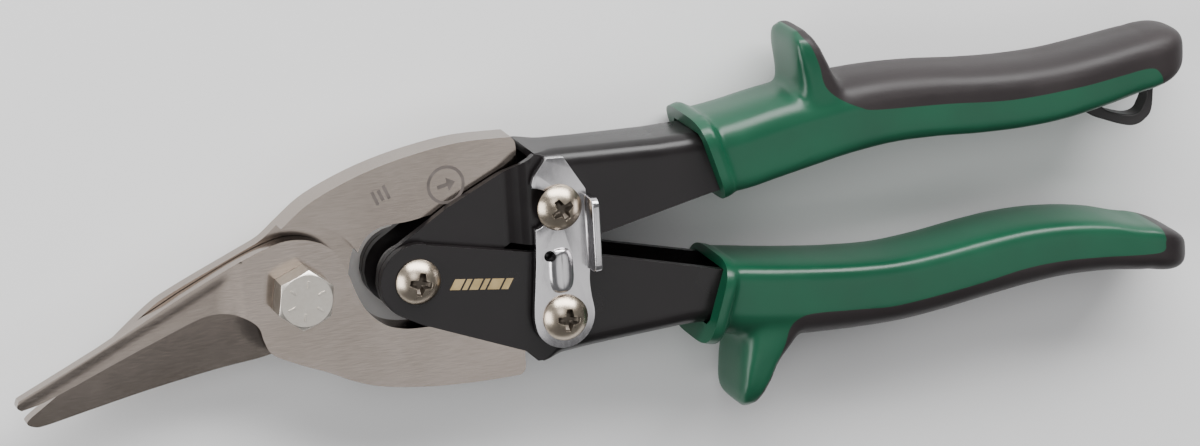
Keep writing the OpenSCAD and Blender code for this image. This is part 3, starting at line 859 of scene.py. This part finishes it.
recessScrew = {"radius": 4.8, "rim": 0.45, "foot": 0.25, "dome": 2.85, "domeSteps": 15,
               "headHeight": 2.9, "recessReach": 2.55, "recessWidth": 1.2, "recessDepth": 1.8,
               "neck": 2.1, "shank": 3}


def ballRadius(s):  # of the ball that the dome is cut from
    rise = s["dome"] - s["rim"]
    return (s["radius"] ** 2 + rise * rise) / (2 * rise)


def screwHead(s, neck, neckLength, reach):
    # head seated on height 0, with its neck and shank below
    r, rim, dome, foot = s["radius"], s["rim"], s["dome"], s["foot"]
    ball, count = ballRadius(s), s["domeSteps"]
    profile = [(s["shank"], -reach), (s["shank"], -neckLength), (neck, -neckLength), (neck, 0),
               (r - foot, 0), (r, foot), (r, rim)]
    for i in range(1, count):
        a = (1 - i / count) * atan2(r, ball - dome + rim)
        profile.append((ball * sin(a), dome - ball + ball * cos(a)))
    profile.append((0.05, dome))
    head = turned("screwHead", profile, 0, 0, 96)
    arm, w, inner = s["recessReach"], s["recessWidth"] / 2, s["recessWidth"] / 2 * 1.5
    cross = [(arm, -w), (arm, w), (inner, inner), (w, arm), (-w, arm), (-inner, inner),
             (-arm, w), (-arm, -w), (-inner, -inner), (-w, -arm), (w, -arm), (inner, -inner)]
    rings = [[(x * k, y * k, dome + z) for x, y in cross]
             for k, z in ((0.5, -s["recessDepth"]), (0.86, -1.2), (1.04, 0.3))]
    combine(head, skin("recess", rings), "DIFFERENCE")
    return easeEdges(head, 0.09, 2, 30)


def seatTree(finish):
    # sets a screw on its pin, turned to its own angle
    tree = geometryTree("seatScrew")
    treeInput(tree, "Place", "Vector", (0, 0, 0))
    treeInput(tree, "Turn", "Vector", (0, 0, 0))
    nodes, links = tree.nodes, tree.links
    source = nodes.new("NodeGroupInput")
    spot = nodes.new("GeometryNodePoints")
    spread = nodes.new("GeometryNodeInstanceOnPoints")
    joinUp(links, (source, "Place", spot, "Position"), (spot, "Points", spread, "Points"),
           (source, "Geometry", spread, "Instance"), (source, "Turn", spread, "Rotation"))
    closeTree(tree, spread.outputs["Instances"], finish)
    return tree


def shadeRecess(screw, x, y, seat):  # the driver recess gets painted shade inside: a dark, dull finish on its faces
    s, ball = recessScrew, ballRadius(recessScrew)
    screw.data.materials.append(paintedRecessShade)
    for face in screw.data.polygons:
        across = sqrt((face.center.x / mm - x) ** 2 + (face.center.y / mm - y) ** 2)
        if across < s["recessReach"] + 0.2:
            skinHeight = seat + s["dome"] - ball + sqrt(ball * ball - across * across)
            # faces sunk below the dome's skin take the painted shade
            if skinHeight - 0.14 > face.center.z / mm > seat + 0.05:
                face.material_index = 1


screwTree = seatTree(nickel)
screwSeats = {  # node: body, neck radius, turn of the recess
    "handle_pivot_screw": (lowerBody, recessScrew["shank"], radians(-14)),
    "upper_link_screw": (upperBody, recessScrew["neck"], radians(28)),
    "lower_link_screw": (lowerBody, recessScrew["shank"], radians(-8)),
}
for node, (body, neck, turn) in screwSeats.items():
    low, high = heightsOf(node)
    x, y = centreOf(node)[:2]
    seat = high - recessScrew["headHeight"]
    screw = screwHead(recessScrew, neck, max(0.3, seat - handleFace), seat - low)
    screw.name = camel(node)
    runTree(screw, screwTree, {"Place": (x * mm, y * mm, seat * mm), "Turn": (0, 0, turn)})
    smoothShade(screw, 38)
    finished(screw, body, [node], nickel)
    shadeRecess(screw, x, y, seat)
print("stage: screws made")


# return spring

returnSpring = {"wire": 0.75, "coil": 5.15, "turns": 2.5, "rise": 5.1, "leg": 15}


def springTree(finish):
    # a coil with a straight leg at each end, swept with round wire
    tree = geometryTree("returnSpring")
    for name, value in (("Coil Radius", 0.005), ("Wire Radius", 0.001), ("Turns", 3.0),
                        ("Rise", 0.005), ("Leg", 0.015)):
        treeInput(tree, name, "Float", value)
    treeInput(tree, "Place", "Vector", (0, 0, 0))
    nodes, links = tree.nodes, tree.links
    source = nodes.new("NodeGroupInput")
    coil = nodes.new("GeometryNodeCurveSpiral")
    coil.inputs["Resolution"].default_value = 40
    wire = nodes.new("GeometryNodeCurvePrimitiveCircle")
    wire.inputs["Resolution"].default_value = 16
    turnCoil = nodes.new("GeometryNodeTransform")
    turnCoil.inputs["Rotation"].default_value = (0, 0, -pi / 2)
    both = nodes.new("GeometryNodeJoinGeometry")
    joinUp(links, (source, "Turns", coil, "Rotations"),
           (source, "Coil Radius", coil, "Start Radius"),
           (source, "Coil Radius", coil, "End Radius"), (source, "Rise", coil, "Height"),
           (source, "Wire Radius", wire, "Radius"), (coil, "Curve", turnCoil, "Geometry"),
           (turnCoil, "Geometry", both, "Geometry"))
    for side, level in ((-1, 0), (1, 1)):  # one leg off the bottom turn, one off the top
        leg = nodes.new("GeometryNodeCurvePrimitiveLine")
        ends = [nodes.new("ShaderNodeCombineXYZ") for _ in range(2)]
        height, across = nodes.new("ShaderNodeMath"), nodes.new("ShaderNodeMath")
        for step, factor, measure in ((height, level, "Rise"), (across, side, "Coil Radius")):
            step.operation = "MULTIPLY"
            step.inputs[1].default_value = factor
            joinUp(links, (source, measure, step, 0))
        for point, end in zip(ends, ("Start", "End")):
            joinUp(links, (across, 0, point, "Y"), (height, 0, point, "Z"),
                   (point, "Vector", leg, end))
        joinUp(links, (source, "Leg", ends[1], "X"), (leg, "Curve", both, "Geometry"))
    sweep = nodes.new("GeometryNodeCurveToMesh")
    sweep.inputs["Fill Caps"].default_value = True
    move = nodes.new("GeometryNodeTransform")
    joinUp(links, (both, "Geometry", sweep, "Curve"), (wire, "Curve", sweep, "Profile Curve"),
           (sweep, "Mesh", move, "Geometry"), (source, "Place", move, "Translation"))
    closeTree(tree, move.outputs["Geometry"], finish)
    return tree


spring = newPiece("torsionSpring", bpy.data.meshes.new("torsionSpring"))
runTree(spring, springTree(springWire), {
    "Coil Radius": returnSpring["coil"] * mm, "Wire Radius": returnSpring["wire"] * mm,
    "Turns": returnSpring["turns"], "Rise": returnSpring["rise"] * mm,
    "Leg": returnSpring["leg"] * mm,
    "Place": (handlePin[0] * mm, handlePin[1] * mm, (midZ - returnSpring["rise"] / 2) * mm)})
smoothShade(spring, 60, False)
finished(spring, lowerBody, ["torsion_spring"], springWire)
print("stage: spring made")


# latch

latchPlate = {
    "outline": [(6.6, 0), (5.7, -3.3), (3.3, -5.7), (0, -6.6), (-3.3, -5.7), (-5.7, -3.3),
                (-6.5, 0), (-6.3, 4), (-5.9, 8), (-5.5, 13), (-5.2, 18.6), (-5.4, 22, 1),
                (-5.4, 29.5, 1), (-4.9, 31, 1), (-2, 34.5, 1), (1.7, 34.2, 1), (6.1, 26.9, 1),
                (6.1, 25.6, 1), (6.1, 9.6, 1), (5.9, 7), (6.1, 4)],
    "mouth": [(-9, 29.2, 1), (-4.6, 28.4), (-2, 27.3), (1, 26.3), (2.4, 24.6), (2.3, 22.9),
              (0.8, 21.5), (-1.4, 21.2), (-3.2, 20.4), (-4.9, 19.6), (-9, 19.2, 1)],
    "sheet": 1.6,
    "pill": {"x": -0.2, "y": 10.2, "half": (2.75, 4.9), "rise": 1.0, "root": 0.3, "steps": 8,
             "around": 48},
    "hole": (-2.6, 13.6, 1.15),
    "flangeEnds": (9.6, 25.6), "flangeOuter": 7.4, "flangeCorner": 1.8, "bend": 1.9,
    "bendSteps": 8,
}


def latchPill(s, x, y, base):  # the raised thumb mark, as rings that close in upwards
    rings, steps, (wide, tall) = [], s["steps"], s["half"]
    for k in range(steps + 1):
        t = k / steps
        grow = sqrt(1 - t * t) if k < steps else 0.12
        ring = []
        for i in range(s["around"]):
            a = 2 * pi * i / s["around"]
            px = wide * grow * abs(cos(a)) ** 0.75 * (1 if cos(a) > 0 else -1)
            py = (tall - (1 - grow) * 1.2) * abs(sin(a)) ** 0.6 * (1 if sin(a) > 0 else -1)
            ring.append((x + s["x"] + px, y + s["y"] + py,
                         base - s["root"] + t * (s["rise"] + s["root"])))
        rings.append(ring)
    return skin("pill", rings)


def latchFlange(s, x, y, base, top):  # the thumb flange, bent up from the plate
    bend, outer, thick = s["bend"], s["flangeOuter"], s["sheet"]
    inner, small = outer - thick, bend - thick
    angles = [pi / 2 * i / s["bendSteps"] for i in range(s["bendSteps"] + 1)]
    profile = [(outer - bend - 0.5, base)]
    profile += [(outer - bend + bend * sin(a), base + bend - bend * cos(a)) for a in angles]
    profile += [(outer, top), (inner, top)]
    profile += [(inner - small + small * sin(a), base + bend - small * cos(a))
                for a in reversed(angles)]
    profile += [(outer - bend - 0.5, base + thick)]
    flange = skin("flange", [[(x + px, y + py, pz) for px, pz in profile]
                             for py in s["flangeEnds"]])
    roundEnds(flange, top, s["flangeCorner"])
    return easeEdges(flange, 0.3, 3, 50)


def makeLatch(s):
    base, top = heightsOf("latch")
    thick = s["sheet"]
    x, y = pinLower[:2]
    loop = [(x + a, y + b) for a, b in smoothLoop(s["outline"], 5)]
    plate = prism("latchPlate", loop, base, base + thick)
    mouth = [(x + a, y + b) for a, b in smoothLoop(s["mouth"], 4)]
    combine(plate, prism("mouth", mouth, base - 1, base + thick + 1), "DIFFERENCE")
    easeEdges(plate, 0.32, 3, 50)
    combine(plate, latchPill(s["pill"], x, y, base + thick), "UNION")
    combine(plate, latchFlange(s, x, y, base, top), "UNION")
    hx, hy, hr = s["hole"]
    combine(plate, disc("hole", x + hx, y + hy, hr, base - 1, base + 4, 40), "DIFFERENCE")
    return plate


def roundEnds(flange, top, corner):  # the two upper corners of the thumb flange
    shape = bmesh.new()
    shape.from_mesh(flange.data)
    edges = [e for e in shape.edges
             if all(abs(v.co.z - top * mm) < 1e-6 for v in e.verts)
             and abs(e.verts[0].co.y - e.verts[1].co.y) < 1e-7]
    bmesh.ops.bevel(shape, geom=edges, offset=corner * mm, segments=6, affect="EDGES",
                    profile=0.5)
    shape.to_mesh(flange.data)
    shape.free()


finished(smoothShade(makeLatch(latchPlate), 42, False), latchBody, ["latch"], zinc)
print("stage: latch made")


# grips

gripShape = {
    "step": 0.8, "around": 96, "outerPower": 3.0, "innerPower": 7.0, "powerRun": 2.5,
    "endSteps": 24, "endPower": 2.5, "endClose": 0.04,
    "guardSteps": 30, "guardAround": 64, "guardPower": 5.0,
    "collarPower": 4.0, "mouthCut": -1.9,
    "collar": [(-3, 9.3, 11.9), (-1, 9.5, 12), (0.4, 9.4, 11.9), (1.3, 8.4, 10.6)],
    "pocketAt": (84, 88, 92, 96, 100), "pocketGap": 0.12, "pocketCorner": 1.2,
    "voxel": 0.5, "smooth": 6, "rootHalf": 5, "rootReach": 6.5, "rootSmooth": 45,
}
upperGripSpec = {
    "side": 1,
    "sections": [(86.5, 9.2, 24.6, 10.4), (95, 8.6, 25.5, 10.4), (104, 10, 27, 10.2),
                 (112, 11.4, 28, 10), (120, 12.7, 28.7, 9.8), (130, 13.6, 28.8, 9.6),
                 (140, 13.4, 28.2, 9.6), (150, 12.7, 27.1, 9.7), (160, 12.4, 26.4, 9.7),
                 (170, 12.9, 26.4, 9.6), (180, 14.4, 27.3, 9.4), (190, 16.2, 28.4, 8.9)],
    "end": (200.4, 24),
    "guard": [(24, 109.5, 121, 9.4), (29, 109.6, 118.6, 9.2), (33, 109.3, 116.6, 8.9),
              (36.5, 109, 115, 8.4), (38.8, 109.2, 113.6, 7.4), (40.2, 110, 112.4, 5)],
    "root": (114.5, 29),
    "collar": (90.4, 16.6, 17),
    "pad": [(112, 50, 1), (110.6, 40.8), (112.4, 37.2), (113.8, 33), (114.4, 29.6),
            (115.6, 27.4), (118.2, 25.2), (122.2, 23.1), (126.2, 22), (142.2, 20.9),
            (157.1, 19.6), (172.3, 20), (182.4, 21), (189.5, 21.6), (191.9, 20.4),
            (193, 17.5), (193.4, 11, 1), (206, 11, 1), (206, 50, 1)],
}
lowerGripSpec = {
    "side": -1,
    "sections": [(86.5, -22.2, -6, 10.4), (95, -24.2, -7.4, 10.4), (104, -25.7, -8.9, 10.2),
                 (112, -26.3, -10.1, 10), (120, -26.7, -11.1, 9.8), (130, -26.8, -11.8, 9.6),
                 (140, -26, -11.3, 9.6), (150, -24.7, -10.2, 9.7), (160, -23.5, -9.5, 9.7),
                 (170, -22.9, -9.9, 9.6), (180, -23.4, -11.5, 9.4), (190, -24.8, -14.2, 8.8)],
    "end": (200, -22.2),
    "guard": [(-20, 95.2, 110, 9.6), (-26, 94.6, 106.5, 9.4), (-30.2, 94, 102.6, 9.1),
              (-33.7, 93.6, 100.8, 8.8), (-36.6, 93.3, 99.1, 8.2), (-38.8, 93.6, 97.4, 7),
              (-39.9, 94.4, 96.2, 4.6)],
    "root": (100, -25.5),
    "collar": (89.9, -15.4, -18),
    "pad": [(95, -46, 1), (95.9, -39.6), (97.4, -37), (99.6, -33.4), (101.6, -29.6),
            (103.2, -26), (104.2, -22.8), (106.1, -20.8), (109.8, -20.1), (120.3, -21),
            (129.7, -21.6), (146.5, -20), (158.5, -18.2), (168.1, -17.9), (177.6, -18.6),
            (190.9, -20), (192.6, -17.8), (192.4, -15.6), (190.6, -8, 1), (206, -8, 1),
            (206, -46, 1)],
}


def roundedRing(count, width, height, powerAt):
    # points round a squarish oval; the power may differ from side to side
    ring = []
    for i in range(count):
        a = 2 * pi * i / count
        c, s = cos(a), sin(a)
        power = 2 / powerAt(c)
        ring.append(((1 if c > 0 else -1) * abs(c) ** power * width / 2,
                     (1 if s > 0 else -1) * abs(s) ** power * height / 2))
    return ring


def gripLoft(spec, s):
    side, rows = spec["side"], spec["sections"]
    count = int((rows[-1][0] - rows[0][0]) / s["step"])
    rings = []

    def power(c):
        t = min(1, max(0, 0.5 - c * side * s["powerRun"]))
        return s["outerPower"] + (s["innerPower"] - s["outerPower"]) * t

    for i in range(count + 1):
        x = rows[0][0] + (rows[-1][0] - rows[0][0]) * i / count
        low, high, half = valuesAt(rows, x)
        ring = roundedRing(s["around"], high - low, 2 * half, power)
        rings.append([(x, (low + high) / 2 + a, midZ + b) for a, b in ring])
    endX, endY = spec["end"]
    fromX, low, high, half = rows[-1]
    for i in range(1, s["endSteps"] + 1):
        t = sin(pi / 2 * i / s["endSteps"])
        k = max(s["endClose"], (1 - t ** s["endPower"]) ** (1 / s["endPower"]))
        y = (low + high) / 2 + (endY - (low + high) / 2) * t
        ring = roundedRing(s["around"], (high - low) * k, 2 * half * k, power)
        rings.append([(fromX + (endX - fromX) * t, y + a, midZ + b) for a, b in ring])
    return skin("gripBody", rings)


def guardLoft(spec, s):
    rows, count = sorted(spec["guard"]), s["guardSteps"]
    rings = []
    for i in range(count + 1):
        y = rows[0][0] + (rows[-1][0] - rows[0][0]) * i / count
        low, high, half = valuesAt(rows, y)
        ring = roundedRing(s["guardAround"], high - low, 2 * half, lambda c: s["guardPower"])
        rings.append([((low + high) / 2 + a, y, midZ + b) for a, b in ring])
    return skin("guard", rings)


def collarLoft(spec, s):
    x, y, turn = spec["collar"]
    rings = []
    for along, half, depth in s["collar"]:
        ring = roundedRing(s["around"], 2 * half, 2 * depth, lambda c: s["collarPower"])
        outline = movedLoop([(along, a) for a, b in ring], x, y, radians(turn))
        rings.append([(px, py, midZ + b) for (px, py), (a, b) in zip(outline, ring)])
    return skin("collar", rings)


def blended(piece, s):  # one skin with soft inner corners
    mesh = piece.modifiers.new("blend", "REMESH")
    mesh.mode = "VOXEL"
    mesh.voxel_size = s["voxel"] * mm
    soft = piece.modifiers.new("soften", "SMOOTH")
    soft.factor = 0.5
    soft.iterations = s["smooth"]
    return settle(piece)


def filletRoot(piece, spec, s):
    # extra smoothing where the guard grows out of the sleeve
    (x, y), reach = spec["root"], s["rootReach"]
    group = piece.vertex_groups.new(name="root")
    for vertex in piece.data.vertices:
        across = max(0, abs(vertex.co.x / mm - x) - s["rootHalf"])
        along = abs(vertex.co.y / mm - y)
        weight = eased(1 - sqrt(across * across + along * along) / reach)
        if weight > 0:
            group.add([vertex.index], weight, "REPLACE")
    soft = piece.modifiers.new("fillet", "SMOOTH")
    soft.factor = 0.6
    soft.iterations = s["rootSmooth"]
    soft.vertex_group = "root"
    settle(piece)
    piece.vertex_groups.clear()
    return piece


def makeGrip(spec, s, handle):  # sleeve, guard and collar in one, open towards the handle
    grip = gripLoft(spec, s)
    combine(grip, guardLoft(spec, s), "UNION")
    combine(grip, collarLoft(spec, s), "UNION")
    filletRoot(blended(grip, s), spec, s)
    combine(grip, mouthPlane(spec, s), "DIFFERENCE")
    return combine(grip, pocket(spec, s, handle), "DIFFERENCE")


def mouthPlane(spec, s):  # everything in front of the collar's slanted end
    x, y, turn = spec["collar"]
    cut = s["mouthCut"]
    loop = movedLoop([(-14, -20), (cut, -20), (cut, 20), (-14, 20)], x, y, radians(turn))
    return prism("mouthPlane", loop, midZ - 14, midZ + 14)


def pocket(spec, s, handle):  # the room the handle takes in the mouth of the grip
    side, gap, corner = spec["side"], s["pocketGap"], s["pocketCorner"]
    rings = []
    for x in s["pocketAt"]:
        top, low = straightAt(handle["web"], x) + gap, straightAt(handle["inner"], x) - gap
        face = straightAt(handle["face"], x) + gap
        rings.append([(x, y * side, midZ + z) for y, z in (
            (low, -face), (low, face), (top - corner, face), (top, face - corner),
            (top, corner - face), (top - corner, -face))])
    return skin("mouth", rings)


def splitGrip(grip, spec, names):
    # the soft part is what lies inside the pad outline
    pad = newPiece(names[1], grip.data.copy())
    for piece, operation in ((pad, "INTERSECT"), (grip, "DIFFERENCE")):
        region = prism("region", smoothLoop(spec["pad"]), midZ - 14, midZ + 14)
        combine(piece, region, operation)
    grip.name = names[0]
    return grip, pad


hangingLoop = {
    "thick": 4.2,
    "outline": [(176.6, 18.4, 1), (176.9, 13.2), (178.6, 11.2), (182.4, 9.4), (186.2, 7.9),
                (189, 7.4), (191.4, 8.3), (193.2, 10.8), (193.8, 18.4, 1)],
    "hole": [(180.4, 15.4), (181.8, 12.2), (185.8, 10.4), (188.9, 9.9), (190.9, 11.2),
             (191.4, 15.4)],
}


def makeLoop(s):
    half = s["thick"] / 2
    loop = prism("hangingLoop", smoothLoop(s["outline"], 8), midZ - half, midZ + half)
    combine(loop, prism("hole", smoothLoop(s["hole"], 8), midZ - 5, midZ + 5), "DIFFERENCE")
    return easeEdges(loop, 0.7, 4, 50)


for spec, handle, body, names, nodes in (
        (upperGripSpec, upperChannel, upperBody, ("upperGrip", "upperGripPad"),
         ("upper_grip", "upper_grip_pad")),
        (lowerGripSpec, lowerChannel, lowerBody, ("lowerGrip", "lowerGripPad"),
         ("lower_grip", "lower_grip_pad"))):
    grip, pad = splitGrip(makeGrip(spec, gripShape, handle), spec, names)
    for piece, node, slotName, finish in ((grip, nodes[0], "grip", greenGrip),
                                          (pad, nodes[1], "pad", darkPad)):
        finished(smoothShade(piece, 45, False), body, [node], finish)
    print("stage: " + names[0] + " made")

finished(smoothShade(makeLoop(hangingLoop), 60), upperBody, ["hanging_loop"],
         loopPlastic)
print("stage: loop made")


# floor, light and camera

stageSet = {"floor": 3.0, "drop": 0.0001, "shade": (0.86, 0.86, 0.86)}
camera = {"yaw": radians(19), "pitch": radians(17), "roll": radians(3.3), "distance": 1.0,
          "target": (0.0666, 0.0039, 0.012), "lens": 144, "sensor": 36}


def makeFloor(s):
    half = s["floor"] / 2
    corners = [(-half, -half), (half, -half), (half, half), (-half, half)]
    mesh = bpy.data.meshes.new("floor")
    mesh.from_pydata([(x, y, -s["drop"]) for x, y in corners], [], [(0, 1, 2, 3)])
    floor = newPiece("floor", mesh)
    material, nodes, links, shader = newFinish("paleFloor")
    grain = patternNode(nodes, links, evenly, 30, 3)
    links.new(colourNode(nodes, links, grain.outputs["Fac"], [v * 0.99 for v in s["shade"]],
                         s["shade"]), shader.inputs["Base Color"])
    shader.inputs["Roughness"].default_value = 0.9
    shader.inputs["Specular IOR Level"].default_value = 0.1
    floor.data.materials.append(material)


def pointAt(item, place, target):
    item.location = place
    item.rotation_euler = (Vector(target) - Vector(place)).to_track_quat("-Z", "Y").to_euler()


toolCentre = (0.067, 0, 0.012)
lamps = {  # name: place, size, power, target
    # two soft panels seen in the flat steel, with a gap between them
    "leftPanel": ((0.10, -0.38, 1.2), (0.478, 0.42), 0.74, (0.10, -0.38, 0)),
    "rightPanel": ((0.80, -0.38, 1.2), (0.848, 0.42), 1.3, (0.80, -0.38, 0)),
    "topLight": ((0.3, 1.05, 0.62), (1.9, 0.6), 42, toolCentre),
    "leftLight": ((-1.0, -0.05, 0.42), (0.8, 0.6), 9, toolCentre),
    "highLight": ((-0.3, 0.6, 1.3), (0.6, 0.6), 3, toolCentre),
}
sky = {"colour": (0.82, 0.83, 0.85, 1), "strength": 0.20}


def softLight(name, place, size, power, target):
    lamp = bpy.data.lights.new(name, "AREA")
    lamp.shape = "RECTANGLE"
    lamp.size, lamp.size_y = size
    lamp.energy = power
    item = bpy.data.objects.new(name, lamp)
    bpy.context.scene.collection.objects.link(item)
    pointAt(item, place, target)


def makeCamera(s):
    yaw, pitch, roll = s["yaw"], s["pitch"], s["roll"]
    away = Vector((-sin(yaw) * cos(pitch), sin(pitch), cos(yaw) * cos(pitch)))
    right = Vector((cos(yaw), 0, sin(yaw)))
    up = away.cross(right)
    across = right * cos(roll) - up * sin(roll)
    above = right * sin(roll) + up * cos(roll)
    lens = bpy.data.cameras.new("view")
    lens.lens = s["lens"]
    lens.sensor_width = s["sensor"]
    lens.clip_start, lens.clip_end = 0.05, 20
    item = bpy.data.objects.new("view", lens)
    bpy.context.scene.collection.objects.link(item)
    item.matrix_world = (Matrix.Translation(Vector(s["target"]) + away * s["distance"])
                         @ Matrix((across, above, away)).transposed().to_4x4())
    bpy.context.scene.camera = item


def makeSky(s):
    world = bpy.data.worlds.new("sky")
    world.use_nodes = True
    background = world.node_tree.nodes["Background"]
    background.inputs["Color"].default_value = s["colour"]
    background.inputs["Strength"].default_value = s["strength"]
    bpy.context.scene.world = world


makeFloor(stageSet)
for name, setting in lamps.items():
    softLight(name, *setting)
makeSky(sky)
makeCamera(camera)
print("stage: floor, light and camera made")
